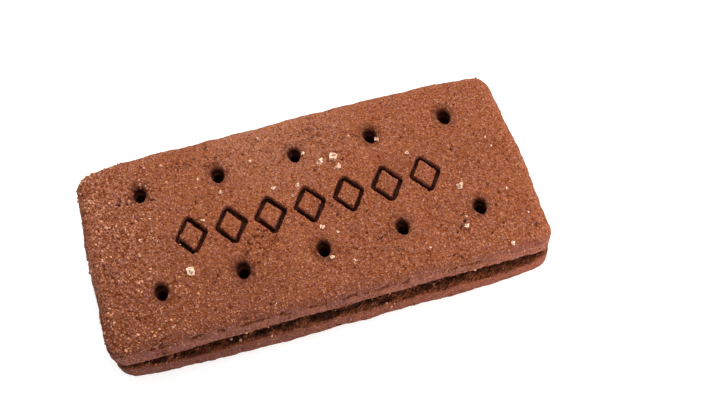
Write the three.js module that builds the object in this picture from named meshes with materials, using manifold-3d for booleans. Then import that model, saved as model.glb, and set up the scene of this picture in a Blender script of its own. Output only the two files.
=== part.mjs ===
// Chocolate sandwich cookie: two oblong cocoa biscuits with a layer of chocolate cream pressed between them.
// Millimetres, +Z up. X runs along the cookie, and the origin is the middle of the face that it rests on.
import * as THREE from 'three';
import { mergeVertices } from 'three/addons/utils/BufferGeometryUtils.js';
import Module from 'manifold-3d';

// One biscuit, with its moulded face up and its flat, cream-side face at height 0.
const LENGTH = 61.5;
const WIDTH = 29.0;
const THICKNESS = 4.0;
const CORNER_RADIUS = 2.6;
const END_BOW = 0.3; // how far the middle of each short end stands out past its corners
const BACK_BOW = 0.7; // one long side stands out too, past the width, and the other is straight
const BACK_BOW_POWER = 8; // so high that most of that side stands out evenly
const RIM_INSET = 1.8; // the moulded face's rounded rim: how far in it reaches
const RIM_DEPTH = 1.8; // and how far down
const LIP_HEIGHT = 1.1; // a thin lip runs round the wall, just above the cream-side face
const LIP_CHAMFER = 0.15;
const CREASE_HEIGHT = 1.5; // the baked crease above the lip
const CREASE_DEPTH = 0.12;
const EDGE_WANDER = 0.12; // the outline isn't quite straight
const TOP_DOME = 0.2; // the upper biscuit's moulded face rises to its middle

// Docker holes: two rows, pierced right through, each with a funnel mouth.
const HOLES_PER_ROW = 5;
const HOLE_PITCH = 11.0;
const HOLE_ROW_SPACING = 15.4;
const HOLE_ROW_SHIFT = 0.25;
const HOLE_MOUTH_RADIUS = 0.9;
const HOLE_RADIUS = 0.76;
const HOLE_FUNNEL_DEPTH = 1.0;
const HOLE_STRETCH = 1.35; // the pins dragged a little, across the biscuit

// The moulded ornament: a row of lozenge outlines, pressed into the face.
const LOZENGE_COUNT = 7;
const LOZENGE_PITCH = 5.5;
const LOZENGE_LENGTH = 4.9;
const LOZENGE_WIDTH = 6.8;
const LOZENGE_STROKE = 0.7;
const LOZENGE_DEPTH = 0.9;

// The layer of cream stays short of the biscuits' edges, with an uneven side.
const CREAM_THICKNESS = 2.0;
const CREAM_INSET = 1.0;
const CREAM_WANDER = 0.4;
const CREAM_BULGE = 0.2;

// The lower biscuit lies turned over, with its bowed side in front, and neither lies quite true on the cream.
const UPPER_PLACE = { x: -0.15, y: -0.05 };
const LOWER_PLACE = { x: 0.15, y: 0.13 };
const LOWER_TURN = THREE.MathUtils.degToRad(-0.5);

// Sugar grains baked on to the upper face: a few coarse ones, then finer ones spread by a rule.
const COARSE_GRAINS = [
  { x: 5.1, y: 6.2, size: 1.25 },
  { x: 3.2, y: 6.1, size: 0.9 },
  { x: 5.3, y: 4.4, size: 0.85 },
  { x: 20.4, y: -3.4, size: 0.95 },
  { x: -17.7, y: -5.4, size: 1.1 },
  { x: 19.2, y: -9.9, size: 0.9 },
];
const FINE_GRAIN_COUNT = 30; // before those that would fall into a hole or the ornament are left out
const FINE_GRAIN_SIZE = 0.6;

const CORNER_STEPS = 6;
const SIDE_STEPS = 14;
const RIM_STEPS = 5;
const HOLE_SIDES = 14;
const FACE_RINGS = [0.86, 0.62, 0.34]; // rings over a face, as shares of its rim's outline
const CUT_PAST = 1; // how far a cutter runs out past the face that it cuts
const WELD_DISTANCE = 1e-4;

const manifoldLibrary = await Module();
manifoldLibrary.setup();

// The outline of a biscuit or of the cream at one height, anticlockwise seen from above.
function outline(inset, backBow, wander) {
  const halfLength = LENGTH / 2 - END_BOW - inset;
  const halfWidth = WIDTH / 2 - inset;
  const radius = CORNER_RADIUS - inset / 2;
  const corners = [[1, -1], [1, 1], [-1, 1], [-1, -1]];
  const points = [];
  corners.forEach(([alongX, alongY], quarter) => {
    const centre = new THREE.Vector2(alongX * (halfLength - radius), alongY * (halfWidth - radius));
    for (let step = 0; step <= CORNER_STEPS; step += 1) {
      const angle = (quarter - 1 + step / CORNER_STEPS) * Math.PI / 2;
      points.push(new THREE.Vector2(Math.cos(angle), Math.sin(angle)).multiplyScalar(radius).add(centre));
    }
    const [nextX, nextY] = corners[(quarter + 1) % corners.length];
    const start = points.at(-1);
    const outward = new THREE.Vector2(alongX + nextX, alongY + nextY).divideScalar(2);
    const end = new THREE.Vector2(nextX * (halfLength - radius), nextY * (halfWidth - radius))
      .addScaledVector(outward, radius);
    for (let step = 1; step < SIDE_STEPS; step += 1) {
      const share = step / SIDE_STEPS;
      const fromMiddle = Math.abs(2 * share - 1);
      const bow = Math.abs(outward.x) * END_BOW * (1 - fromMiddle ** 2)
        + Math.max(outward.y, 0) * backBow * (1 - fromMiddle ** BACK_BOW_POWER);
      points.push(start.clone().lerp(end, share).addScaledVector(outward, bow));
    }
  });
  return points.map((point) => point.clone().addScaledVector(point.clone().normalize(), wander(point)));
}

// A slow, uneven wave along an edge, between -1 and 1.
function slowWave(point, phase) {
  return 0.6 * Math.sin(0.23 * point.x + 0.4 * point.y + phase)
    + 0.4 * Math.sin(0.61 * point.x - 0.5 * point.y + 2 * phase);
}

// A closed skin through a stack of rings, from the lowest up, with a fan over each end.
function loft(rings, lowMiddle, highMiddle) {
  const ringSize = rings[0].length;
  const vertices = [...rings.flat(), lowMiddle, highMiddle];
  const lowIndex = vertices.length - 2;
  const highIndex = vertices.length - 1;
  const lastRing = (rings.length - 1) * ringSize;
  const index = [];
  for (let i = 0; i < ringSize; i += 1) {
    const next = (i + 1) % ringSize;
    index.push(lowIndex, next, i, highIndex, lastRing + i, lastRing + next);
    for (let base = 0; base < lastRing; base += ringSize) {
      index.push(base + i, base + next, base + next + ringSize);
      index.push(base + i, base + next + ringSize, base + i + ringSize);
    }
  }
  const geometry = new THREE.BufferGeometry().setFromPoints(vertices);
  geometry.setIndex(index);
  return geometry;
}

// A plain biscuit before it is pierced and pressed, as a stack of outlines from the cream side up.
function biscuitSlab(dome, phase) {
  const wander = (point) => EDGE_WANDER * slowWave(point, phase);
  const wall = [
    { inset: LIP_CHAMFER, height: 0 },
    { inset: 0, height: LIP_CHAMFER },
    { inset: 0, height: LIP_HEIGHT },
    { inset: CREASE_DEPTH, height: CREASE_HEIGHT },
    { inset: 0, height: 2 * CREASE_HEIGHT - LIP_HEIGHT },
  ];
  for (let step = 0; step <= RIM_STEPS; step += 1) {
    const turn = step / RIM_STEPS * Math.PI / 2;
    wall.push({
      inset: RIM_INSET * (1 - Math.cos(turn)),
      height: THICKNESS - dome - RIM_DEPTH * (1 - Math.sin(turn)),
    });
  }
  const rings = wall.map(({ inset, height }) => (
    outline(inset, BACK_BOW, wander).map((point) => new THREE.Vector3(point.x, point.y, height))));
  const rim = rings.at(-1);
  FACE_RINGS.forEach((share) => {
    const height = THICKNESS - dome * share ** 2;
    rings.push(rim.map((point) => new THREE.Vector3(point.x * share, point.y * share, height)));
  });
  return loft(rings, new THREE.Vector3(0, 0, 0), new THREE.Vector3(0, 0, THICKNESS));
}

function toSolid(geometry) {
  const bare = geometry.clone();
  bare.deleteAttribute('normal');
  bare.deleteAttribute('uv');
  const merged = mergeVertices(bare, WELD_DISTANCE);
  return new manifoldLibrary.Manifold(new manifoldLibrary.Mesh({
    numProp: 3,
    vertProperties: merged.attributes.position.array,
    triVerts: Uint32Array.from(merged.index.array),
  }));
}

function toGeometry(solid) {
  const mesh = solid.getMesh();
  const geometry = new THREE.BufferGeometry();
  geometry.setAttribute('position', new THREE.BufferAttribute(mesh.vertProperties, 3));
  geometry.setIndex(new THREE.BufferAttribute(mesh.triVerts, 1));
  geometry.computeVertexNormals();
  return geometry;
}

// A pin of the docker, standing on the baking sheet: a plain shank that widens at the mouth.
function holeCutter() {
  const flare = (HOLE_MOUTH_RADIUS - HOLE_RADIUS) / HOLE_FUNNEL_DEPTH;
  const profile = [
    new THREE.Vector2(0, -CUT_PAST),
    new THREE.Vector2(HOLE_RADIUS, -CUT_PAST),
    new THREE.Vector2(HOLE_RADIUS, THICKNESS - HOLE_FUNNEL_DEPTH),
    new THREE.Vector2(HOLE_MOUTH_RADIUS + flare * CUT_PAST, THICKNESS + CUT_PAST),
    new THREE.Vector2(0, THICKNESS + CUT_PAST),
  ];
  return new THREE.LatheGeometry(profile, HOLE_SIDES).rotateX(Math.PI / 2).scale(1, HOLE_STRETCH, 1);
}

function lozenge(path, halfLength, halfWidth) {
  path.moveTo(halfLength, 0);
  path.lineTo(0, halfWidth);
  path.lineTo(-halfLength, 0);
  path.lineTo(0, -halfWidth);
  path.closePath();
  return path;
}

// One raised lozenge frame of the moulding roll.
function lozengeCutter() {
  const halfLength = LOZENGE_LENGTH / 2;
  const halfWidth = LOZENGE_WIDTH / 2;
  const middleToEdge = halfLength * halfWidth / Math.hypot(halfLength, halfWidth);
  const innerShare = 1 - LOZENGE_STROKE / middleToEdge;
  const frame = lozenge(new THREE.Shape(), halfLength, halfWidth);
  frame.holes.push(lozenge(new THREE.Path(), halfLength * innerShare, halfWidth * innerShare));
  const depth = LOZENGE_DEPTH + CUT_PAST;
  return new THREE.ExtrudeGeometry(frame, { depth, bevelEnabled: false })
    .translate(0, 0, THICKNESS - LOZENGE_DEPTH);
}

function holePlaces() {
  const columns = Array.from({ length: HOLES_PER_ROW }, (_, i) => (i - (HOLES_PER_ROW - 1) / 2) * HOLE_PITCH);
  return columns.flatMap((x) => (
    [-1, 1].map((side) => ({ x, y: HOLE_ROW_SHIFT + side * HOLE_ROW_SPACING / 2 }))));
}

// A biscuit with its docker holes pierced and its ornament pressed in.
function mouldedBiscuit(dome, phase) {
  let solid = toSolid(biscuitSlab(dome, phase));
  holePlaces().forEach(({ x, y }) => {
    solid = solid.subtract(toSolid(holeCutter().translate(x, y, 0)));
  });
  for (let i = 0; i < LOZENGE_COUNT; i += 1) {
    const x = (i - (LOZENGE_COUNT - 1) / 2) * LOZENGE_PITCH;
    solid = solid.subtract(toSolid(lozengeCutter().translate(x, 0, 0)));
  }
  return solid;
}

// Whether a grain would fall into a docker hole or the ornament.
function missesFace({ x, y, size }) {
  const nearOrnament = Math.abs(x) < LOZENGE_COUNT * LOZENGE_PITCH / 2
    && Math.abs(y) < LOZENGE_WIDTH / 2 + size;
  return nearOrnament || holePlaces().some((hole) => (
    Math.hypot(x - hole.x, y - hole.y) < HOLE_STRETCH * HOLE_MOUTH_RADIUS + size));
}

// Finer grains take places by the golden ratio, which leaves neither bare patches nor rows.
function fineGrains() {
  const goldenShare = (Math.sqrt(5) - 1) / 2;
  const reachX = LENGTH / 2 - 2 * RIM_INSET;
  const reachY = WIDTH / 2 - 2 * RIM_INSET;
  return Array.from({ length: FINE_GRAIN_COUNT }, (_, i) => ({
    x: reachX * (2 * ((i + 0.5) / FINE_GRAIN_COUNT) - 1),
    y: reachY * (2 * ((i * goldenShare) % 1) - 1),
    size: FINE_GRAIN_SIZE,
  })).filter((grain) => !missesFace(grain));
}

// Grains are small cubes of sugar, half sunk into the face at all angles.
function withSugar(solid, dome) {
  let sugared = solid;
  [...COARSE_GRAINS, ...fineGrains()].forEach(({ x, y, size }, i) => {
    const faceHeight = THICKNESS - dome * Math.max((2 * x / LENGTH) ** 2, (2 * y / WIDTH) ** 2);
    const grain = new THREE.BoxGeometry(size, size, size)
      .applyMatrix4(new THREE.Matrix4().makeRotationFromEuler(new THREE.Euler(1 + i, 2 * i, 3 * i)))
      .translate(x, y, faceHeight);
    sugared = sugared.add(toSolid(grain));
  });
  return sugared;
}

// The cream: a flat slab whose side bulges and wanders where it was squeezed out.
function creamSlab() {
  const levels = [0, 0.25, 0.5, 0.75, 1];
  const rings = levels.map((share) => {
    const inset = CREAM_INSET - CREAM_BULGE * Math.sin(share * Math.PI);
    const wander = (point) => CREAM_WANDER * slowWave(point.clone().multiplyScalar(2.3), 2.2 * share);
    return outline(inset, 0, wander)
      .map((point) => new THREE.Vector3(point.x, point.y, share * CREAM_THICKNESS));
  });
  return loft(rings, new THREE.Vector3(0, 0, 0), new THREE.Vector3(0, 0, CREAM_THICKNESS));
}

const topBiscuit = new THREE.Mesh(
  toGeometry(withSugar(mouldedBiscuit(TOP_DOME, 0.8), TOP_DOME)),
  new THREE.MeshStandardMaterial({ color: 0x9b5a3f, roughness: 0.85, metalness: 0 }),
);
topBiscuit.name = 'top_biscuit';
topBiscuit.position.set(UPPER_PLACE.x, UPPER_PLACE.y, THICKNESS + CREAM_THICKNESS);

const cream = new THREE.Mesh(
  creamSlab(),
  new THREE.MeshStandardMaterial({ color: 0x4f2a1d, roughness: 0.7, metalness: 0 }),
);
cream.name = 'cream_filling';
cream.position.z = THICKNESS;

const bottomBiscuit = new THREE.Mesh(
  toGeometry(mouldedBiscuit(0, 3.1)),
  new THREE.MeshStandardMaterial({ color: 0x834b3a, roughness: 0.85, metalness: 0 }),
);
bottomBiscuit.name = 'bottom_biscuit';
bottomBiscuit.rotation.set(Math.PI, 0, LOWER_TURN, 'ZYX'); // turned over, with its moulded face down
bottomBiscuit.position.set(LOWER_PLACE.x, LOWER_PLACE.y, THICKNESS);

const cookie = new THREE.Group();
cookie.add(topBiscuit, cream, bottomBiscuit);

// The uneven edges are centred over the origin.
const box = new THREE.Box3().setFromObject(cookie, true);
cookie.position.set(-(box.min.x + box.max.x) / 2, -(box.min.y + box.max.y) / 2, -box.min.z);

export default cookie;
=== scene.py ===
"""A chocolate sandwich cookie: two oblong cocoa biscuits with a layer of chocolate cream between them."""

import math

import bmesh
import bpy
from mathutils import Euler, Matrix, Vector


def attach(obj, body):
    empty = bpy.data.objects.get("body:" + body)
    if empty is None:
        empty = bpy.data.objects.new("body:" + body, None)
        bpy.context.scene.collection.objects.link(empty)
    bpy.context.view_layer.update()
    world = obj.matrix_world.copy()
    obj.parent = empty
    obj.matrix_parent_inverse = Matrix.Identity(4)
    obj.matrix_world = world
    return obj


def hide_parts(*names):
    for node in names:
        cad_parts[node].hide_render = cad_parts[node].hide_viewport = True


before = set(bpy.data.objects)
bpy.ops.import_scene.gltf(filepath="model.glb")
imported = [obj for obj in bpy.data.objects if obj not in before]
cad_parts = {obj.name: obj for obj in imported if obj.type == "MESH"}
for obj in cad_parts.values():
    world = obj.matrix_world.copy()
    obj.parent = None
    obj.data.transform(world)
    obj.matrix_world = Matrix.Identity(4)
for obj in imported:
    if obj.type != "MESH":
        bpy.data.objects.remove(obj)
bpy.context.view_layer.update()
scene = bpy.context.scene

# ---------------------------------------------------------------------------------------------------------
# Lower biscuit. A moulded cocoa biscuit, baked dry and sandy. The moulding roll rounds its rim, presses the
# ornament and pierces the docker holes. It lies with its moulded face down, so it is made face up, like its
# fellow, and then turned over. Sizes are in millimetres until a piece is finished.

MM = 0.001
LENGTH = 61.5
WIDTH = 29.0
THICKNESS = 4.0
CORNER_RADIUS = 2.6
END_BOW = 0.3
BACK_BOW = 0.7  # one long side stands out past the width, nearly all along, and the other is straight
BACK_BOW_POWER = 8
RIM_INSET = 1.8
RIM_DEPTH = 1.8
LIP_CHAMFER = 0.15
EDGE_WANDER = 0.12
RELIEF_ROOM = 0.05  # the plain form is this much smaller all round, and the baked relief fills it
CORNER_STEPS = 10
SIDE_STEPS = 24
RIM_STEPS = 8

HOLES_PER_ROW = 5
HOLE_PITCH = 11.0
HOLE_ROW_SPACING = 15.4
HOLE_ROW_SHIFT = 0.25
HOLE_MOUTH_RADIUS = 0.86
HOLE_RADIUS = 0.76
HOLE_FUNNEL_DEPTH = 1.0
HOLE_STRETCH = 1.35  # the pins dragged a little as the roll turned, across the biscuit
HOLE_LEAN = 0.3  # and widened one side of the mouth more than the other
PIN_SIDES = 24
DIMPLE_SHIFT = 0.5  # the dough sank round each pin, more on the side that the mouth leans to
DIMPLE_DEPTH = 0.4

LOZENGE_COUNT = 7
LOZENGE_PITCH = 5.5
LOZENGE_LENGTH = 4.9
LOZENGE_WIDTH = 6.8
LOZENGE_STROKE = 0.7
LOZENGE_DEPTH = 1.0
LOZENGE_CORNER = 0.4  # radius of a lozenge's corners, as a share of its stroke
LOZENGE_CORNER_STEPS = 5
STROKE_TAPER = 0.2  # how much narrower a stroke is at its foot than at the face

LOWER_PLACE = (
    Matrix.Translation((0.15, 0.13, THICKNESS))
    @ Matrix.Rotation(math.radians(-0.5), 4, "Z")
    @ Matrix.Rotation(math.pi, 4, "X")
)
# Short cracks in the moulded face, where the dough was dry: middle along and across, turn and half length.
SPLITS = [(18.6, -9.3, 0.77, 1.7), (8.0, -7.9, 0.28, 1.2), (-24.6, 7.6, -0.1, 1.3), (-20.3, 6.8, -0.6, 0.7)]
# The places where the crease above the lip has opened: middle along and half length.
CREASE_SPLITS = [(-15.7, 0.6), (-12.0, 1.7), (-2.4, 0.9), (5.7, 1.2), (9.1, 0.8), (18.2, 1.9)]
GRAIN_RELIEF = 0.22
LUMP_RELIEF = 0.25
PIT_DEPTH = 0.3
CRACK_DEPTH = 0.35
CREASE_HEIGHT = 2.4
CRUMB_CELL = 0.12  # size of a biscuit mesh's cells before it is thinned


def slow_wave(x, y, phase):
    """A slow, uneven wave along an edge, between -1 and 1."""
    return 0.6 * math.sin(0.23 * x + 0.4 * y + phase) + 0.4 * math.sin(0.61 * x - 0.5 * y + 2 * phase)


def outline(inset, back_bow, wander):
    """The outline of a layer of the cookie, anticlockwise from above."""
    half_length = LENGTH / 2 - END_BOW - inset
    half_width = WIDTH / 2 - inset
    radius = CORNER_RADIUS - inset / 2
    corners = [(1, -1), (1, 1), (-1, 1), (-1, -1)]
    points = []
    for quarter, (along_x, along_y) in enumerate(corners):
        centre = Vector((along_x * (half_length - radius), along_y * (half_width - radius)))
        for step in range(CORNER_STEPS + 1):
            angle = (quarter - 1 + step / CORNER_STEPS) * math.pi / 2
            points.append(centre + radius * Vector((math.cos(angle), math.sin(angle))))
        next_x, next_y = corners[(quarter + 1) % 4]
        outward = Vector((along_x + next_x, along_y + next_y)) / 2
        start = points[-1]
        end = Vector((next_x * (half_length - radius), next_y * (half_width - radius))) + radius * outward
        for step in range(1, SIDE_STEPS):
            share = step / SIDE_STEPS
            from_middle = abs(2 * share - 1)
            end_bow = abs(outward.x) * END_BOW * (1 - from_middle**2)
            side_bow = max(outward.y, 0) * back_bow * (1 - from_middle**BACK_BOW_POWER)
            points.append(start.lerp(end, share) + (end_bow + side_bow) * outward)
    return [point + point.normalized() * wander(point.x, point.y) for point in points]


def loft(name, levels):
    """A closed mesh through a stack of outlines at their heights, from the lowest up."""
    mesh = bpy.data.meshes.new(name)
    form = bmesh.new()
    rings = [[form.verts.new((x, y, height)) for x, y in points] for points, height in levels]
    for low, high in zip(rings, rings[1:]):
        for i in range(len(low)):
            j = (i + 1) % len(low)
            form.faces.new((low[i], low[j], high[j], high[i]))
    form.faces.new(reversed(rings[0]))
    form.faces.new(rings[-1])
    form.to_mesh(mesh)
    form.free()
    piece = bpy.data.objects.new(name, mesh)
    scene.collection.objects.link(piece)
    return piece


def plain_biscuit(name, dome, phase):
    """A biscuit before it is pierced and pressed: a slab with a rounded rim round its upper, moulded face."""

    def wander(x, y):
        return EDGE_WANDER * slow_wave(x, y, phase)

    top = THICKNESS - RELIEF_ROOM - dome
    levels = [
        (outline(RELIEF_ROOM + LIP_CHAMFER, BACK_BOW, wander), 0),
        (outline(RELIEF_ROOM, BACK_BOW, wander), LIP_CHAMFER),
    ]
    for step in range(RIM_STEPS + 1):
        turn = step / RIM_STEPS * math.pi / 2
        inset = RELIEF_ROOM + RIM_INSET * (1 - math.cos(turn))
        levels.append((outline(inset, BACK_BOW, wander), top - RIM_DEPTH * (1 - math.sin(turn))))
    return loft(name, levels)


class Field:
    """A socket in a node tree. Sums and products of fields add the nodes that work them out."""

    def __init__(self, tree, socket=None):
        self.tree = tree
        self.socket = socket

    def node(self, kind, settings=None, inputs=None, output=0):
        """Adds a node, makes its settings, fills its sockets with values or fields, and gives an output."""
        made = self.tree.nodes.new(kind)
        for name, value in (settings or {}).items():
            setattr(made, name, value)
        for name, value in (inputs or {}).items():
            if isinstance(value, Field):
                self.tree.links.new(value.socket, made.inputs[name])
            else:
                made.inputs[name].default_value = value
        return Field(self.tree, made.outputs[output] if made.outputs else None)

    def maths(self, operation, other=0.0):
        """What a Math node makes of this field and another, or a number."""
        return self.node("ShaderNodeMath", {"operation": operation}, {0: self, 1: other})

    def __add__(self, other):
        return self.maths("ADD", other)

    __radd__ = __add__

    def __mul__(self, other):
        return self.maths("MULTIPLY", other)

    __rmul__ = __mul__

    def __sub__(self, other):
        return self.maths("SUBTRACT", other)

    def __rsub__(self, other):
        return self.node("ShaderNodeMath", {"operation": "SUBTRACT"}, {0: other, 1: self})

    def __abs__(self):
        return self.maths("ABSOLUTE")

    def ramp(self, low, high):
        """0 up to low, 1 from high on, and smooth between them. It falls instead where low is the greater."""
        settings = {"interpolation_type": "SMOOTHSTEP"}
        return self.node("ShaderNodeMapRange", settings, {"Value": self, "From Min": low, "From Max": high})

    def scaled(self, scale):
        """A vector made longer or shorter."""
        return self.node("ShaderNodeVectorMath", {"operation": "SCALE"}, {0: self, "Scale": scale})

    def moved(self, *by):
        """A vector with another added to it, so that a noise over it takes other values."""
        return self.node("ShaderNodeVectorMath", {"operation": "ADD"}, {0: self, 1: by})

    def length(self):
        """How long a vector is."""
        return self.node("ShaderNodeVectorMath", {"operation": "LENGTH"}, {0: self}, "Value")

    def part(self, axis):
        """One coordinate of a vector."""
        return self.node("ShaderNodeSeparateXYZ", None, {"Vector": self}, axis)

    def parts(self):
        """The three coordinates of a vector."""
        return [self.part(axis) for axis in "XYZ"]

    def noise(self, scale, detail=0.0, roughness=0.5, output="Fac"):
        """Smooth noise over a place, about 0.5 in the middle."""
        inputs = {"Vector": self, "Scale": scale, "Detail": detail, "Roughness": roughness}
        return self.node("ShaderNodeTexNoise", None, inputs, output)

    def cells(self, scale, output="Distance"):
        """The distance to the nearest of a scatter of points, or that point's own colour."""
        return self.node("ShaderNodeTexVoronoi", None, {"Vector": self, "Scale": scale}, output)

    def ridges(self, scale, width, detail=1.0):
        """1 along thin winding lines, where a noise crosses its middle, and 0 away from them."""
        return abs(self.noise(scale, detail, 0.6) - 0.5).ramp(width, 0.0)

    def bump(self, strength, distance):
        """A normal that shows this field as a height of up to so many millimetres."""
        inputs = {"Strength": strength, "Distance": distance * MM, "Height": self}
        return self.node("ShaderNodeBump", None, inputs)


def add_nodes(piece, name, build, **sizes):
    """Adds a Geometry Nodes modifier whose tree has a named input for each size, object and material."""
    tree = bpy.data.node_groups.new(name, "GeometryNodeTree")
    kinds = {
        int: "NodeSocketInt",
        float: "NodeSocketFloat",
        bpy.types.Object: "NodeSocketObject",
        bpy.types.Material: "NodeSocketMaterial",
    }
    tree.interface.new_socket("Geometry", in_out="OUTPUT", socket_type="NodeSocketGeometry")
    tree.interface.new_socket("Geometry", in_out="INPUT", socket_type="NodeSocketGeometry")
    sockets = {
        size: tree.interface.new_socket(size.replace("_", " "), socket_type=kinds[type(value)])
        for size, value in sizes.items()
    }
    entry = tree.nodes.new("NodeGroupInput")
    fields = {size: Field(tree, entry.outputs[socket.name]) for size, socket in sockets.items()}
    made = build(Field(tree, entry.outputs["Geometry"]), **fields)
    tree.links.new(made.socket, tree.nodes.new("NodeGroupOutput").inputs["Geometry"])
    modifier = piece.modifiers.new(name, "NODES")
    modifier.node_group = tree
    for size, socket in sockets.items():
        modifier[socket.identifier] = sizes[size]


def closed(made, material):
    """The last nodes of a tree: its instances made real, in their material."""
    real = made.node("GeometryNodeRealizeInstances", None, {"Geometry": made})
    return real.node("GeometryNodeSetMaterial", None, {"Geometry": real, "Material": material})


def at(start, x=0.0, y=0.0, z=0.0):
    """A vector of three values or fields, in the same tree as another field."""
    return start.node("ShaderNodeCombineXYZ", None, {"X": x, "Y": y, "Z": z})


def moved_points(made, **sockets):
    """A shape with its points set to a new position or moved by an offset."""
    return made.node("GeometryNodeSetPosition", None, {"Geometry": made, **sockets})


def stored(made, name, value, domain="POINT", kind="FLOAT"):
    """A shape that keeps a value under a name, for its material."""
    settings = {"data_type": kind, "domain": domain}
    kept = {"Geometry": made, "Name": name, "Value": value}
    return made.node("GeometryNodeStoreNamedAttribute", settings, kept)


def cut(biscuit, places, tool):
    """Cuts copies of a tool, one at each place, out of a biscuit."""
    tools = biscuit.node("GeometryNodeInstanceOnPoints", None, {"Points": places, "Instance": tool})
    tools = tools.node("GeometryNodeRealizeInstances", None, {"Geometry": tools})
    settings = {"operation": "DIFFERENCE", "solver": "MANIFOLD"}
    return tools.node("GeometryNodeMeshBoolean", settings, {"Mesh 1": biscuit, "Mesh 2": tools})


def pierce(
    biscuit,
    thickness,
    pitch,
    row_spacing,
    row_shift,
    mouth_radius,
    radius,
    funnel_depth,
    stretch,
    lean,
    material,
):
    """Cuts two rows of docker pins out of a biscuit: each a plain shank that widens to the hole's mouth."""
    node = biscuit.node
    oval = at(biscuit, 1.0, stretch, 1.0)
    # The shank goes right through, well past both faces.
    shank_sizes = {"Vertices": PIN_SIDES, "Radius": radius, "Depth": thickness * 4}
    shank = node("GeometryNodeMeshCylinder", None, shank_sizes)
    shank = node("GeometryNodeTransform", None, {"Geometry": shank, "Scale": oval})
    # The funnel runs on past the face, as steep as below it.
    funnel_sizes = {
        "Vertices": PIN_SIDES,
        "Radius Top": 2 * mouth_radius - radius,
        "Radius Bottom": radius,
        "Depth": funnel_depth * 2,
    }
    funnel = node("GeometryNodeMeshCone", None, funnel_sizes)
    rise = at(biscuit, y=lean, z=thickness - funnel_depth)
    funnel = node("GeometryNodeTransform", None, {"Geometry": funnel, "Translation": rise, "Scale": oval})
    grid = {
        "Size X": pitch * (HOLES_PER_ROW - 1),
        "Size Y": row_spacing,
        "Vertices X": HOLES_PER_ROW,
        "Vertices Y": 2,
    }
    places = node("GeometryNodeMeshGrid", None, grid)
    shift = at(biscuit, y=row_shift)
    places = node("GeometryNodeTransform", None, {"Geometry": places, "Translation": shift})
    return closed(cut(cut(biscuit, places, shank), places, funnel), material)


def press(biscuit, thickness, count, pitch, length, width, stroke, depth, material):
    """Presses a row of lozenge outlines into a biscuit, with strokes that are narrower at the foot."""
    node = biscuit.node
    kite = {"Width": length, "Bottom Height": width * 0.5, "Top Height": width * 0.5}
    lozenge = node("GeometryNodeCurvePrimitiveQuadrilateral", {"mode": "KITE"}, kite)
    fillet = {"Curve": lozenge, "Radius": stroke * LOZENGE_CORNER, "Count": LOZENGE_CORNER_STEPS}
    lozenge = node("GeometryNodeFilletCurve", {"mode": "POLY"}, fillet)
    lozenge = node("GeometryNodeSetCurveNormal", {"mode": "Z_UP"}, {"Curve": lozenge})
    # The section hangs upside down, half above the face and half below: its top is the foot of the stroke.
    trapezoid = {
        "Bottom Width": stroke * (1 + STROKE_TAPER),
        "Top Width": stroke * (1 - STROKE_TAPER),
        "Height": depth * 2,
        "Offset": 0.0,
    }
    section = node("GeometryNodeCurvePrimitiveQuadrilateral", {"mode": "TRAPEZOID"}, trapezoid)
    tool = node("GeometryNodeCurveToMesh", None, {"Curve": lozenge, "Profile Curve": section})
    start = at(biscuit, x=(count - 1) * pitch * -0.5, z=thickness)
    line = {"Count": count, "Start Location": start, "Offset": at(biscuit, x=pitch)}
    row = node("GeometryNodeMeshLine", {"mode": "OFFSET"}, line)
    return closed(cut(biscuit, row, tool), material)


def within(x, y):
    """How far a place lies inside a biscuit's outline, in from the nearest side."""
    bow = BACK_BOW * (1 - (abs(x) * (2 / LENGTH)).maths("POWER", BACK_BOW_POWER))
    across = (WIDTH / 2 + y).maths("MINIMUM", WIDTH / 2 + bow - y)
    return (LENGTH / 2 - abs(x)).maths("MINIMUM", across)


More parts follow.
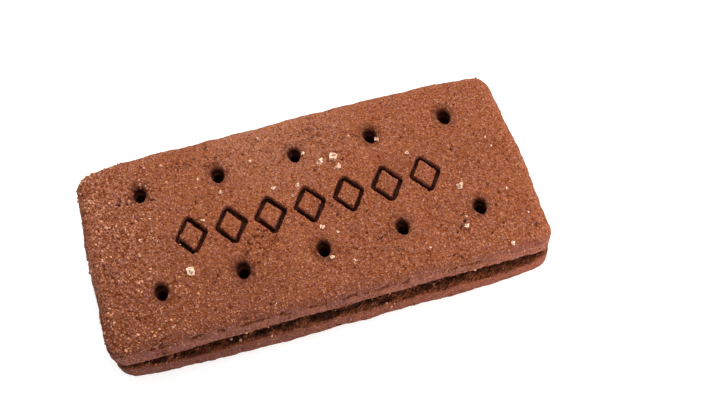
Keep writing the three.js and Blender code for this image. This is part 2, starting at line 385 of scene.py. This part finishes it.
def bake(biscuit, highest, dome, phase, grain, lumps, pits, cracks, crease_height, crease_slope, material):
    """Gives a biscuit its baked surface: sandy, pitted and cracked, and flat where the cream hides it."""
    node = biscuit.node
    place = node("GeometryNodeInputPosition")
    normal = node("GeometryNodeInputNormal")
    x, y, z = place.parts()
    spot = node("ShaderNodeVectorMath", {"operation": "ADD"}, {0: place, 1: at(place, phase, phase, phase)})
    from_edge = within(x, y)
    on_wall = abs(normal.part("Z")).ramp(0.85, 0.45)

    # The grain is coarser in patches and at the dry left end, and finer on the wall and along the bowed side.
    dry_end = x.ramp(-18.0, -29.0)
    by_bow = y.ramp(WIDTH / 2 - 3, WIDTH / 2 - 1)
    rough_patch = spot.noise(0.16, 1.0).ramp(0.35, 0.7) + 1.6 * dry_end * from_edge.ramp(0.2, 1.6)
    rough = (0.85 + 0.3 * rough_patch) * (1 - 0.5 * on_wall) * (1 - 0.4 * by_bow)
    sand = spot.noise(3.0, 1.0) - 0.5
    knobs = 0.45 - spot.cells(2.2)
    fine = rough * (0.8 * sand + 0.9 * knobs)
    kernels = spot.noise(1.2, 1.0) - 0.5
    height = lumps * (1.5 * (spot.noise(0.11, 1.0) - 0.5) + 0.6 * (spot.noise(0.55) - 0.5))
    height = height + grain * (fine + 0.32 * rough * kernels + 1.2 * on_wall * (spot.noise(0.8) - 0.5))

    # The dough sank a little round each pin, in a dimple that is longer across the biscuit.
    from_column = x - HOLE_PITCH * (x * (1 / HOLE_PITCH)).maths("ROUND")
    from_row = y - HOLE_ROW_SHIFT - DIMPLE_SHIFT - (HOLE_ROW_SPACING / 2) * y.maths("SIGN")
    from_hole = (1.5 * from_column * from_column + from_row * from_row).maths("SQRT")
    dimple = from_hole.ramp(1.5, 0.8) * z.ramp(THICKNESS - 1.5, THICKNESS - 0.6)

    # Painted shade darkens the crumb where it was pressed in: at the foot of a stroke, and all the way down
    # in a hole.
    by_hole = from_hole.ramp(2.3, 2.1)
    in_stroke = z.ramp(THICKNESS - 0.5, THICKNESS - 0.95) * (1 - by_hole)
    hollow = in_stroke + by_hole * z.ramp(THICKNESS + 0.08, THICKNESS - 0.6)
    hollow = hollow * from_edge.ramp(RIM_INSET, RIM_INSET + 0.3) * z.ramp(0.1, 0.5)

    # Small pits sit in a few of the cells of a net, clear of the holes.
    few = spot.cells(1.0, "Color").part("X").ramp(0.86, 0.88)
    off_hole = from_hole.ramp(1.5, 1.9)
    height = height - pits * spot.cells(1.0).ramp(0.27, 0.1) * few * (1 - hollow) * off_hole

    # Short cracks follow thin winding lines, where the crumb is dry.
    dry = spot.moved(31, 7, 3).noise(0.2, 1.0).ramp(0.56, 0.64) * (1 - 0.8 * x.ramp(2.0, 14.0))
    height = height - cracks * spot.ridges(0.32, 0.012, 3.0) * dry * off_hole

    # The wall has cracked in the oven, here and there, along a crease above the lip, and the face in a few
    # splits. A crack is kept as how near it is, 1 in its middle, so that its edges are sharp in the material.
    wander = 0.7 * (spot.noise(0.12) - 0.5) + 0.9 * (spot.noise(0.6) - 0.5)
    from_crease = z - crease_height - crease_slope * x - wander
    broken = spot.moved(5, 19, 2).noise(0.5, 1.0).ramp(0.48, 0.52)
    for split_x, reach in CREASE_SPLITS:
        broken = broken.maths("MAXIMUM", abs(x - split_x).ramp(reach, 0.7 * reach))
    crack = abs(from_crease).ramp(0.5, 0.0) * broken * from_edge.ramp(1.6, 1.2) * on_wall
    for split_x, split_y, turn, reach in SPLITS:
        away_x, away_y = x - split_x, y - split_y
        along = math.cos(turn) * away_x + math.sin(turn) * away_y
        across = math.cos(turn) * away_y - math.sin(turn) * away_x + 1.2 * (spot.noise(0.9, 1.0) - 0.5)
        split = abs(across).ramp(0.4, 0.0) * abs(along).ramp(reach, 0.6 * reach)
        crack = crack.maths("MAXIMUM", split * spot.noise(1.5, 1.0).ramp(0.3, 0.45))
    height = height - 1.2 * cracks * crack.ramp(0.4, 0.95)

    # The pins and the ornament pressed the crumb smoother than it is elsewhere.
    height = height * (1 - 0.6 * hollow)

    # The cream side is torn at its margin, and flat further in, where the cream lies.
    cream_side = z.ramp(0.35, 0.05)
    # The cream side is darkened in the material by cream smear and by painted shade, as under the upper
    # biscuit's lip, from a little in from the edge, and less towards the right.
    lighter_rim = 0.4 * x.ramp(-5.0, 20.0)
    smeared = cream_side * (from_edge - lighter_rim + 1.8 * (spot.noise(0.5, 3.0) - 0.5)).ramp(0.2, 0.9)
    margin = from_edge.ramp(2.9, 2.3)
    height = height + cream_side * (spot.moved(3, 3, 3).noise(0.8, 4.0, 0.6) - 0.6) * 0.9
    height = height * (1 - cream_side * (1 - margin))

    shifted = moved_points(biscuit, Offset=normal.scaled(height))
    on_face = normal.part("Z").ramp(0.5, 0.9)
    rise = dome * on_face * (1 - from_edge.ramp(WIDTH / 2, RIM_INSET))
    level = (z + rise - DIMPLE_DEPTH * dimple).maths("MINIMUM", highest).maths("MAXIMUM", 0.0)
    made = moved_points(shifted, Position=at(place, x, y, level))
    # The lip: the wall under the crease, and the cream side, where the material paints a highlight.
    lip = cream_side.maths("MAXIMUM", 0.5 * on_wall * from_crease.ramp(0.05, -0.15))
    kept = {
        "relief": height,
        "fine": fine,
        "wall": on_wall,
        "lip": lip,
        "hollow": hollow,
        "dimple": dimple,
        "smeared": smeared,
        "crack": crack,
    }
    for name, value in kept.items():
        made = stored(made, name, value)
    return closed(stored(made, "spot", spot, kind="FLOAT_VECTOR"), material)


def add_cells(piece, size):
    """Remakes a piece's surface from even cells, small enough to carry a relief."""
    cells = piece.modifiers.new("cells", "REMESH")
    cells.mode = "VOXEL"
    cells.voxel_size = size


def made_real(piece):
    """Gives a piece the plain mesh that its modifiers make, and removes them."""
    made = bpy.data.meshes.new_from_object(piece.evaluated_get(bpy.context.evaluated_depsgraph_get()))
    piece.modifiers.clear()
    piece.data = made
    return made


def finished(piece, place=None, triangles=None, smooth=True):
    """A piece as a plain mesh that rides on the cookie, thinned to a number of triangles if one is given.

    A piece made in millimetres gets a place, and is put there in metres.
    """
    made = made_real(piece)
    if triangles:
        count = sum(len(face.vertices) - 2 for face in made.polygons)
        thin = piece.modifiers.new("thin", "DECIMATE")
        thin.ratio = min(1.0, triangles / count)
        made = made_real(piece)
    if place:
        made.transform(Matrix.Scale(MM, 4) @ place)
    if smooth:
        made.shade_smooth()
    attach(piece, "root")
    return piece


def mixed(share, one, other, blend="MIX"):
    """One colour over another, by a field's share."""
    settings = {"data_type": "RGBA", "blend_type": blend}
    return share.node("ShaderNodeMix", settings, {0: share, 6: one, 7: other}, 2)


def new_material(name):
    """A start in a new material's tree, the place on its surface in millimetres, and a call to close it."""
    material = bpy.data.materials.new(name)
    material.use_nodes = True
    material.node_tree.nodes.clear()
    start = Field(material.node_tree)
    spot = start.node("ShaderNodeTexCoord", output="Object").scaled(1 / MM)

    def surface(**inputs):
        named = {socket.replace("_", " "): value for socket, value in inputs.items()}
        shader = start.node("ShaderNodeBsdfPrincipled", None, named)
        start.node("ShaderNodeOutputMaterial", None, {"Surface": shader})
        return material

    return start, spot, surface


def kept_values(start, *names):
    """The values that a piece's mesh keeps under these names."""
    return [start.node("ShaderNodeAttribute", {"attribute_name": name}, output="Fac") for name in names]


def crumb_material(name, front, warm, dull, brown, wall, wall_shade, lip_highlight, pale, golden, dark):
    """Baked cocoa crumb: warm and dull brown in patches, with a fine sandy grain of pale and dark specks.

    It turns a darker brown to the left, and also to one long side, as front says. There a painted shade
    darkens the wall, and a painted highlight lightens the lip and the cream side in patches.
    """
    start, _, surface = new_material(name)
    spot = start.node("ShaderNodeAttribute", {"attribute_name": "spot"}, output="Vector")
    x, y = spot.part("X"), spot.part("Y")
    relief, fine, on_wall, lip = kept_values(start, "relief", "fine", "wall", "lip")
    hollow, dimple, smeared, crack = kept_values(start, "hollow", "dimple", "smeared", "crack")
    patches = spot.noise(0.14, 3.0, 0.6).ramp(0.4, 0.62)
    blotches = spot.noise(0.7, 3.0, 0.6).ramp(0.38, 0.66)
    specks = spot.noise(2.6, 2.0, 0.7).ramp(0.42, 0.58)
    browner = (x - 2.2 * front * y).ramp(-5.0, -48.0)
    paler = spot.moved(1.0, -14.5, -4.8).length().ramp(15.0, 4.0)
    dried = x.ramp(-14.0, -28.0) * y.ramp(-11.0, -3.0)
    colour = mixed(0.2 * patches + 0.15 * blotches + 0.45 * specks, warm, dull)
    colour = mixed(0.65 * browner, colour, brown)
    colour = mixed((0.2 * paler).maths("MAXIMUM", 0.13 * dried), colour, pale)
    colour = mixed(on_wall * (0.45 + 0.5 * blotches), colour, wall)
    # Painted shade darkens the wall where the crumb turns browner.
    colour = mixed(browner * on_wall, colour, wall_shade, "MULTIPLY")
    # Painted highlight, in patches, along the lip and over the cream side.
    colour = mixed(lip * spot.noise(0.6, 2.0).ramp(0.35, 0.6), colour, lip_highlight, "MULTIPLY")

    # Each grain has a tone of its own: most are plain, and a few are burnt. The tone also follows the
    # relief and the bumps: paler on their crests, as painted highlight, and darker between them, as painted
    # shade. Golden specks on a few crests are painted glints.
    sand = spot.noise(4.2, 1.0, 0.6) - 0.5
    knobs = 0.45 - spot.cells(3.4)
    own = spot.cells(3.4, "Color").part("X")
    sparkle = (0.5 + 0.5 * browner + 0.3 * blotches) * (1 - 0.4 * on_wall)
    stronger = 1 + 0.35 * x.ramp(-15.0, -27.0) * (1 - 0.7 * browner)
    tone = (0.6 * fine + 1.1 * sand + 0.5 * knobs) * stronger
    colour = mixed(0.9 * tone.ramp(-0.03, -0.55), colour, dark)
    colour = mixed(0.95 * tone.ramp(0.0, 0.5) * (1 - 0.3 * browner), colour, pale)
    colour = mixed(0.4 * own.ramp(0.3, 0.1) * knobs.ramp(-0.1, 0.15), colour, dark)
    colour = mixed(0.6 * sparkle * own.ramp(0.66, 0.96) * knobs.ramp(-0.1, 0.15), colour, golden)

    # The dark grains are warmer than the pale ones, painted as light bounced between grains in their shade,
    # and each grain leans a little to yellow or to blue.
    warmer, yellower, bluer = (1.0, 0.92, 0.66, 1), (1.08, 1.0, 0.66, 1), (0.97, 0.98, 1.5, 1)
    colour = mixed(0.8 * tone.ramp(0.08, -0.35), colour, warmer, "MULTIPLY")
    tint = spot.moved(7, 7, 7).noise(4.4, 1.0)
    colour = mixed(0.85 * tint.ramp(0.5, 0.66), colour, yellower, "MULTIPLY")
    colour = mixed(0.85 * tint.ramp(0.5, 0.34), colour, bluer, "MULTIPLY")

    # Painted shade darkens the low places of the relief, such as pits, and the dimples by the holes and
    # the cracks, and a painted highlight lines a crack's edges. Cream is smeared over the side that it lies
    # on, and there the smear is also painted shade, as under the upper biscuit's lip.
    cream_smear_and_shade, deep_shade = (0.036, 0.01, 0.004, 1), (0.022, 0.003, 0.001, 1)
    colour = mixed(relief.ramp(-0.1, -0.28), colour, dark)
    colour = mixed(0.35 * crack.ramp(0.2, 0.4) * crack.ramp(0.7, 0.5), colour, pale)
    colour = mixed(0.55 * dimple, colour, dark)
    smears_and_shade = smeared * (0.15 + 0.85 * spot.noise(0.8, 2.0).ramp(0.38, 0.5))
    colour = mixed(smears_and_shade, colour, cream_smear_and_shade)
    # Painted shade deep in the holes, at the foot of the strokes and in the middle of a crack.
    deep = ((1 - 0.15 * blotches) * hollow).maths("MAXIMUM", 0.85 * crack.ramp(0.55, 0.8))
    colour = mixed(deep, colour, deep_shade)
    height = (1 - 0.5 * on_wall) * (sand + 0.7 * knobs)
    return surface(
        Base_Color=colour,
        Roughness=0.9 - 0.4 * tone.ramp(0.1, 0.5),
        Specular_IOR_Level=0.08,
        Normal=height.bump(strength=1.0, distance=0.25),
    )


def biscuit(name, dome, phase, highest, triangles, place, material, crease_slope):
    """A finished biscuit: moulded, pierced, pressed with its ornament and baked."""
    made = plain_biscuit(name, dome, phase)
    add_nodes(
        made,
        "docker holes",
        pierce,
        thickness=THICKNESS,
        pitch=HOLE_PITCH,
        row_spacing=HOLE_ROW_SPACING,
        row_shift=HOLE_ROW_SHIFT,
        mouth_radius=HOLE_MOUTH_RADIUS,
        radius=HOLE_RADIUS,
        funnel_depth=HOLE_FUNNEL_DEPTH,
        stretch=HOLE_STRETCH,
        lean=HOLE_LEAN,
        material=material,
    )
    half_length, half_width = LOZENGE_LENGTH / 2, LOZENGE_WIDTH / 2
    middle_to_edge = half_length * half_width / math.hypot(half_length, half_width)
    mid_stroke = 1 - LOZENGE_STROKE / 2 / middle_to_edge
    add_nodes(
        made,
        "lozenges",
        press,
        thickness=THICKNESS - RELIEF_ROOM - dome,
        count=LOZENGE_COUNT,
        pitch=LOZENGE_PITCH,
        length=LOZENGE_LENGTH * mid_stroke,
        width=LOZENGE_WIDTH * mid_stroke,
        stroke=LOZENGE_STROKE,
        depth=LOZENGE_DEPTH,
        material=material,
    )
    add_cells(made, CRUMB_CELL)
    add_nodes(
        made,
        "baked crumb",
        bake,
        highest=highest,
        dome=dome,
        phase=phase,
        grain=GRAIN_RELIEF,
        lumps=LUMP_RELIEF,
        pits=PIT_DEPTH,
        cracks=CRACK_DEPTH,
        crease_height=CREASE_HEIGHT,
        crease_slope=crease_slope,
        material=material,
    )
    return finished(made, place, triangles)


lower = biscuit(
    "baked_bottom_biscuit",
    dome=0.0,
    phase=3.1,
    highest=THICKNESS,
    triangles=150_000,
    place=LOWER_PLACE,
    material=crumb_material(
        "base biscuit crumb",
        front=0.75,
        warm=(0.19, 0.053, 0.019, 1),
        dull=(0.15, 0.043, 0.03, 1),
        brown=(0.14, 0.04, 0.018, 1),
        wall=(0.155, 0.048, 0.034, 1),
        wall_shade=(0.66, 0.72, 0.9, 1),
        lip_highlight=(1.5, 1.42, 1.3, 1),
        pale=(0.36, 0.145, 0.072, 1),
        golden=(0.4, 0.16, 0.075, 1),
        dark=(0.07, 0.012, 0.003, 1),
    ),
    crease_slope=0.0,
)
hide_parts("bottom_biscuit")

# ---------------------------------------------------------------------------------------------------------
# Cream. A soft, dark chocolate cream of fat, sugar and cocoa, dropped on the lower biscuit and squeezed flat
# by the upper one. It stays short of their edges, and its side is ragged where it was torn and dusted.

CREAM_THICKNESS = 2.0
CREAM_INSET = 1.0
CREAM_WANDER = 0.4
CREAM_WAVES = 2.3  # its side wavers this many times as often as a biscuit's
CREAM_TWIST = 2.2  # how far the waves have moved along at its top, as a phase
CREAM_BULGE = 0.2
CREAM_RAGGEDNESS = 0.7
CREAM_LEVELS = 8
CREAM_CELL = 0.18


def smear(cream, thickness, ragged, material):
    """Roughens the cream's side, and keeps its two faces flat against the biscuits."""
    place = cream.node("GeometryNodeInputPosition")
    normal = cream.node("GeometryNodeInputNormal")
    x, y, z = place.parts()
    height = ragged * (1.6 * (place.noise(0.7, 4.0, 0.6) - 0.5) + 0.3 - place.cells(1.1))
    height = height * (1 - abs(normal.part("Z")).ramp(0.4, 0.9))
    shifted = moved_points(cream, Offset=normal.scaled(height))
    level = z.maths("MAXIMUM", 0.0).maths("MINIMUM", thickness)
    return closed(moved_points(shifted, Position=at(place, x, y, level)), material)


def cream_material():
    """Dark cream: nearly black where it is smooth and fat, which is partly painted shade for the gap it
    fills, and dusted with brown crumb.
    """
    _, spot, surface = new_material("chocolate cream")
    smooth_cream, dusty_cream = (0.018, 0.004, 0.002, 1), (0.07, 0.019, 0.009, 1)
    dust = spot.noise(1.6, 4.0, 0.65)
    return surface(
        Base_Color=mixed(dust.ramp(0.45, 0.68), smooth_cream, dusty_cream),
        Roughness=0.5 + 0.4 * dust.ramp(0.4, 0.6),
        Specular_IOR_Level=0.1,
        Normal=dust.bump(strength=0.8, distance=0.15),
    )


def cream_edge(share):
    """The cream's outline at a share of its height, as it was squeezed out."""

    def wander(x, y):
        return CREAM_WANDER * slow_wave(CREAM_WAVES * x, CREAM_WAVES * y, CREAM_TWIST * share)

    return outline(CREAM_INSET - CREAM_BULGE * math.sin(share * math.pi), 0, wander)


cream = loft(
    "squeezed_cream",
    [
        (cream_edge(level / CREAM_LEVELS), CREAM_THICKNESS * level / CREAM_LEVELS)
        for level in range(CREAM_LEVELS + 1)
    ],
)
add_cells(cream, CREAM_CELL)
add_nodes(
    cream,
    "smeared side",
    smear,
    thickness=CREAM_THICKNESS,
    ragged=CREAM_RAGGEDNESS,
    material=cream_material(),
)
finished(cream, Matrix.Translation((0, 0, THICKNESS)), triangles=60_000)
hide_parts("cream_filling")

# ---------------------------------------------------------------------------------------------------------
# Upper biscuit. The same cocoa dough from the same moulding roll, baked a little paler and slightly domed. It
# lies moulded face up, and the cream that it is pressed on holds it, a little out of line with its fellow.

TOP_DOME = 0.2
UPPER_PLACE = Matrix.Translation((-0.15, -0.05, THICKNESS + CREAM_THICKNESS))

upper = biscuit(
    "baked_top_biscuit",
    dome=TOP_DOME,
    phase=0.8,
    highest=THICKNESS + RELIEF_ROOM,
    triangles=190_000,
    place=UPPER_PLACE,
    material=crumb_material(
        "top biscuit crumb",
        front=-1,
        warm=(0.237, 0.071, 0.026, 1),
        dull=(0.166, 0.053, 0.034, 1),
        brown=(0.13, 0.039, 0.021, 1),
        wall=(0.165, 0.054, 0.039, 1),
        wall_shade=(0.84, 0.88, 1.0, 1),
        lip_highlight=(1.6, 1.8, 1.8, 1),
        pale=(0.435, 0.195, 0.122, 1),
        golden=(0.48, 0.21, 0.105, 1),
        dark=(0.1, 0.018, 0.003, 1),
    ),
    crease_slope=-0.015,
)
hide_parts("top_biscuit")

# ---------------------------------------------------------------------------------------------------------
# Sugar. Coarse clear crystals that didn't dissolve in the dough, and finer ones, baked half sunk into the
# upper face. The coarse ones have places of their own, and the fine ones are strewn in loose clusters.

COARSE_GRAINS = [
    # along, across, size
    (5.1, 6.2, 1.0),
    (3.2, 6.1, 0.72),
    (5.3, 4.4, 0.68),
    (20.4, -3.4, 0.76),
    (-17.7, -5.4, 0.88),
    (19.2, -9.6, 0.5),
    (-4.1, 3.8, 0.45),
    (-1.9, 1.8, 0.41),
    (-0.8, 3.2, 0.54),
    (-11.2, 5.3, 0.45),
    (-6.2, 9.1, 0.36),
    (-4.2, 12.3, 0.41),
    (0.7, -4.1, 0.5),
    (2.4, -5.4, 0.36),
    (0.7, -8.8, 0.41),
    (11.8, 7.3, 0.45),
    (15.1, 3.8, 0.45),
    (1.3, 8.1, 0.32),
    (-14.5, 1.7, 0.36),
    (-21.0, 0.4, 0.32),
    (24.3, -13.9, 0.36),
]
FINE_GRAIN_SIZE = 0.24
FINE_GRAIN_DENSITY = 0.03  # to the square millimetre of face, about
COARSE_TURN_SEED = 11
FINE_TURN_SEED = 23
FINE_SIZE_SEED = 5
FINE_PLACE_SEED = 4
TOP_FACE = 2 * THICKNESS + CREAM_THICKNESS  # height of the upper biscuit's moulded face


def crystal(start, roundness):
    """One crystal, 1 mm across: a cube with its corners worn off, which knows its edges."""
    cube = {"Size": (MM, MM, MM), "Vertices X": 3, "Vertices Y": 3, "Vertices Z": 3}
    made = start.node("GeometryNodeMeshCube", None, cube)
    place = start.node("GeometryNodeInputPosition")
    x, y, z = (abs(part) for part in place.parts())
    made = stored(made, "edge", (x + y + z) * (1 / MM) - 0.5)
    ball = start.node("ShaderNodeVectorMath", {"operation": "NORMALIZE"}, {0: place}).scaled(0.6 * MM)
    worn = start.node("ShaderNodeMix", {"data_type": "VECTOR"}, {0: roundness, 4: place, 5: ball}, 1)
    return moved_points(made, Position=worn)


def at_random(start, low, high, seed):
    """A random number between two others, for each point."""
    limits = {2: low, 3: high, "Seed": seed}
    return start.node("FunctionNodeRandomValue", {"data_type": "FLOAT"}, limits, 1)


def strewn(points, grain, size, seed):
    """A grain on each point, turned at random, with a tone of its own."""
    node = points.node
    whole_turn = {1: (math.tau, math.tau, math.tau), "Seed": seed}
    turn = node("FunctionNodeRandomValue", {"data_type": "FLOAT_VECTOR"}, whole_turn)
    placed = {"Points": points, "Instance": grain, "Rotation": turn, "Scale": size}
    made = node("GeometryNodeInstanceOnPoints", None, placed)
    made = stored(made, "tone", at_random(points, 0.0, 1.0, seed + 1), "INSTANCE")
    return node("GeometryNodeRealizeInstances", None, {"Geometry": made})


def scattered_over(ground, density, seed):
    """Points strewn over a surface, so many to the square millimetre."""
    spread = {"Mesh": ground, "Density": density * (1 / MM**2), "Seed": seed}
    return ground.node("GeometryNodeDistributePointsOnFaces", None, spread)


def shape_of(piece):
    """The shape of a finished piece, which a tree has as an input."""
    return piece.node("GeometryNodeObjectInfo", None, {"Object": piece}, "Geometry")


def place_in_millimetres(start):
    """The place, in millimetres, on a piece that is made in metres."""
    return start.node("GeometryNodeInputPosition").scaled(1 / MM)


def joined(first, second):
    """Two shapes as one."""
    made = first.node("GeometryNodeJoinGeometry", None, {0: first})
    made.tree.links.new(second.socket, made.socket.node.inputs[0])
    return made


def chipped(grains, by, scale):
    """Grains with their points moved at random, so that no two are alike."""
    centred = place_in_millimetres(grains).noise(scale, output="Color").moved(-0.5, -0.5, -0.5)
    return moved_points(grains, Offset=centred.scaled(by * MM))


def sugar_grains(coarse, biscuit, fine_size, fine_density, seed, material):
    """Crystals on the coarse grains' places, and fine ones strewn over the biscuit's upper face."""
    node = coarse.node
    grain = crystal(coarse, roundness=0.25)
    size = node("GeometryNodeInputNamedAttribute", {"data_type": "FLOAT"}, {"Name": "size"})
    large = strewn(coarse, grain, size, COARSE_TURN_SEED)
    spot = place_in_millimetres(coarse)
    faces_up = node("GeometryNodeInputNormal").part("Z").ramp(0.7, 0.9)
    face = faces_up * spot.part("Z").ramp(TOP_FACE - 0.4, TOP_FACE - 0.3)
    clusters = spot.noise(0.12, 1.0).ramp(0.45, 0.7) + 0.25
    points = scattered_over(shape_of(biscuit), fine_density * face * clusters, seed)
    small_size = fine_size * at_random(coarse, 0.6, 1.5, FINE_SIZE_SEED)
    small = strewn(points, grain, small_size, FINE_TURN_SEED)
    return closed(chipped(joined(large, small), by=0.5, scale=2.2), material)


def sugar_material():
    """Clear sugar: whitish where it is scratched and at its edges, and brown in the middle of its faces,
    painted as the biscuit seen through it.
    """
    start, spot, surface = new_material("clear sugar")
    whitish, brownish, biscuit_seen_through = (1.0, 0.72, 0.52, 1), (0.8, 0.45, 0.3, 1), (0.35, 0.15, 0.08, 1)
    tone, edge = kept_values(start, "tone", "edge")
    frost = spot.noise(3.0, 3.0, 0.6)
    return surface(
        Base_Color=mixed((0.3 * edge + frost).ramp(0.68, 0.52), mixed(tone, whitish, brownish), biscuit_seen_through),
        Roughness=0.2 + 0.5 * frost.ramp(0.4, 0.7),
        Transmission_Weight=0.3,
        IOR=1.5,
        Normal=frost.bump(strength=0.5, distance=0.1),
    )


def grain_places(name, grains):
    """A loose point for each grain, on the upper face, with the grain's size."""
    mesh = bpy.data.meshes.new(name)
    face = THICKNESS - TOP_DOME / 2
    mesh.from_pydata([UPPER_PLACE @ Vector((x, y, face)) * MM for x, y, _ in grains], [], [])
    mesh.attributes.new("size", "FLOAT", "POINT").data.foreach_set("value", [size for _, _, size in grains])
    piece = bpy.data.objects.new(name, mesh)
    scene.collection.objects.link(piece)
    return piece


sugar = grain_places("sugar_grains", COARSE_GRAINS)
add_nodes(
    sugar,
    "sugar grains",
    sugar_grains,
    biscuit=upper,
    fine_size=FINE_GRAIN_SIZE,
    fine_density=FINE_GRAIN_DENSITY,
    seed=FINE_PLACE_SEED,
    material=sugar_material(),
)
finished(sugar, smooth=False)
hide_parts("top_biscuit")

# ---------------------------------------------------------------------------------------------------------
# Crumbs. Loose grains of the biscuits' own baked crumb, rubbed off their dry surface. Most of them lie at the
# dry left end or cling to the torn edges beside the cream.

CRUMB_SIZE = 0.32
CRUMB_DENSITY = 1.8  # to the square millimetre, where the share that is wanted is 1
CRUMB_SEED = 7


def loose_crumbs(nothing, above, below, size, density, seed, material):
    """Crumbs strewn over both biscuits, where they are dry or torn."""
    node = nothing.node
    spot = place_in_millimetres(nothing)
    x, y, z = spot.parts()
    from_edge = (LENGTH / 2 - abs(x)).maths("MINIMUM", WIDTH / 2 - abs(y))

    # They hold to the walls above the foot, and to the upper face and its rim, but not down in its holes.
    shown = 0.5 * z.ramp(1.5, 2.5) * from_edge.ramp(1.7, 1.5)
    faces_up = node("GeometryNodeInputNormal").part("Z").ramp(0.2, 0.5)
    open_face = faces_up.maths("MAXIMUM", from_edge.ramp(3.0, 2.5))
    above_rim = (z - from_edge.ramp(2.3, 2.8)).ramp(TOP_FACE - 1.5, TOP_FACE - 1.4)
    shown = shown.maths("MAXIMUM", above_rim * open_face)

    # A few lie anywhere, many at the left end, though fewer in front and at the edge, and some by the cream.
    patches = spot.noise(0.25, 1.0).ramp(0.45, 0.65)
    gap_foot, gap_top = THICKNESS, THICKNESS + CREAM_THICKNESS
    torn = z.ramp(gap_foot - 1.2, gap_foot - 0.4) * z.ramp(gap_top + 1.0, gap_top + 0.4)
    front_share = 0.4 + 0.6 * y.ramp(-12.0, -6.0)
    edge_share = 0.35 + 0.65 * from_edge.ramp(0.4, 1.6)
    dry_end = x.ramp(-15.0, -28.0) * spot.noise(0.45, 1.0).ramp(0.42, 0.62) * front_share * edge_share
    wanted = 0.02 * patches + 3.0 * dry_end + torn * patches
    points = scattered_over(joined(shape_of(above), shape_of(below)), density * shown * wanted, seed)
    crumb = node("GeometryNodeMeshIcoSphere", None, {"Radius": 0.5 * MM, "Subdivisions": 1})
    made = strewn(points, crumb, size * at_random(nothing, 0.4, 1.5, seed), seed + 1)
    return closed(chipped(made, by=0.3, scale=5.0), material)


def loose_material():
    """Single crumbs, each of its own brown, from golden to dark."""
    start, spot, surface = new_material("loose crumb")
    brown, golden, dark = (0.26, 0.07, 0.025, 1), (0.56, 0.25, 0.14, 1), (0.08, 0.016, 0.006, 1)
    (tone,) = kept_values(start, "tone")
    grain = spot.noise(5.0, 2.0, 0.6)
    return surface(
        Base_Color=mixed(0.6 * grain.ramp(0.5, 0.35), mixed(tone.ramp(0.3, 1.0), brown, golden), dark),
        Roughness=0.75,
        Specular_IOR_Level=0.4,
        Normal=grain.bump(strength=0.8, distance=0.1),
    )


crumbs = grain_places("loose_crumbs", [])  # no places of its own: the crumbs' tree strews them all
add_nodes(
    crumbs,
    "loose crumbs",
    loose_crumbs,
    above=upper,
    below=lower,
    size=CRUMB_SIZE,
    density=CRUMB_DENSITY,
    seed=CRUMB_SEED,
    material=loose_material(),
)
finished(crumbs)
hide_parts("top_biscuit", "bottom_biscuit")

# ---------------------------------------------------------------------------------------------------------
# Studio. A plain pale floor in a light room, a broad soft box overhead and a small low one at the right
# front, and the camera, which looks down steeply.

CAMERA_AIM = Vector((6.95, 1.35, 5.0)) * MM
CAMERA_DISTANCE = 155.5 * MM
CAMERA_AZIMUTH = math.radians(-14.3)
CAMERA_ELEVATION = math.radians(59.4)
CAMERA_ROLL = math.radians(-2.5)
CAMERA_LENS = 55.4
CAMERA_SENSOR = 36
CAMERA_CLIP = 1.0 * MM
FLOOR_HALF = 1.5  # metres
FLOOR_DROP = 0.02 * MM  # just under the cookie, so that the two don't meet in one plane
FLOOR_GLOW = 0.68
ROOM_LIGHT = 0.8

camera = bpy.data.objects.new("camera", bpy.data.cameras.new("camera"))
camera.data.lens = CAMERA_LENS
camera.data.sensor_width = CAMERA_SENSOR
camera.data.clip_start = CAMERA_CLIP
scene.collection.objects.link(camera)
turn = Euler((math.pi / 2 - CAMERA_ELEVATION, 0, CAMERA_AZIMUTH)).to_matrix().to_4x4()
back = turn @ Vector((0, 0, CAMERA_DISTANCE))
camera.matrix_world = Matrix.Translation(CAMERA_AIM + back) @ turn @ Matrix.Rotation(CAMERA_ROLL, 4, "Z")
scene.camera = camera

floor_mesh = bpy.data.meshes.new("floor")
floor_corners = [(x * FLOOR_HALF, y * FLOOR_HALF, 0) for x, y in ((-1, -1), (1, -1), (1, 1), (-1, 1))]
floor_mesh.from_pydata(floor_corners, [], [(0, 1, 2, 3)])
floor = bpy.data.objects.new("floor", floor_mesh)
floor.location.z = -FLOOR_DROP
scene.collection.objects.link(floor)
surface = new_material("pale floor")[2]
floor_mesh.materials.append(
    surface(
        Base_Color=(0.5, 0.5, 0.5, 1),
        Roughness=0.9,
        Emission_Color=(1, 1, 1, 1),
        Emission_Strength=FLOOR_GLOW,
    )
)


def soft_light(name, place, size, power):
    """A square soft box that faces the cookie."""
    lamp = bpy.data.lights.new(name, "AREA")
    lamp.size = size
    lamp.energy = power
    box = bpy.data.objects.new(name, lamp)
    box.location = place
    box.rotation_euler = (-Vector(place)).to_track_quat("-Z", "Y").to_euler()
    scene.collection.objects.link(box)


soft_light("overhead soft box", place=(0.1, 0.12, 0.26), size=0.22, power=1.3)
soft_light("low soft box at the right", place=(0.1, -0.075, 0.03), size=0.06, power=0.11)
world = bpy.data.worlds.new("studio")
world.use_nodes = True
background = world.node_tree.nodes["Background"].inputs
background["Color"].default_value = (1, 1, 1, 1)
background["Strength"].default_value = ROOM_LIGHT
scene.world = world
scene.view_settings.view_transform = "Standard"
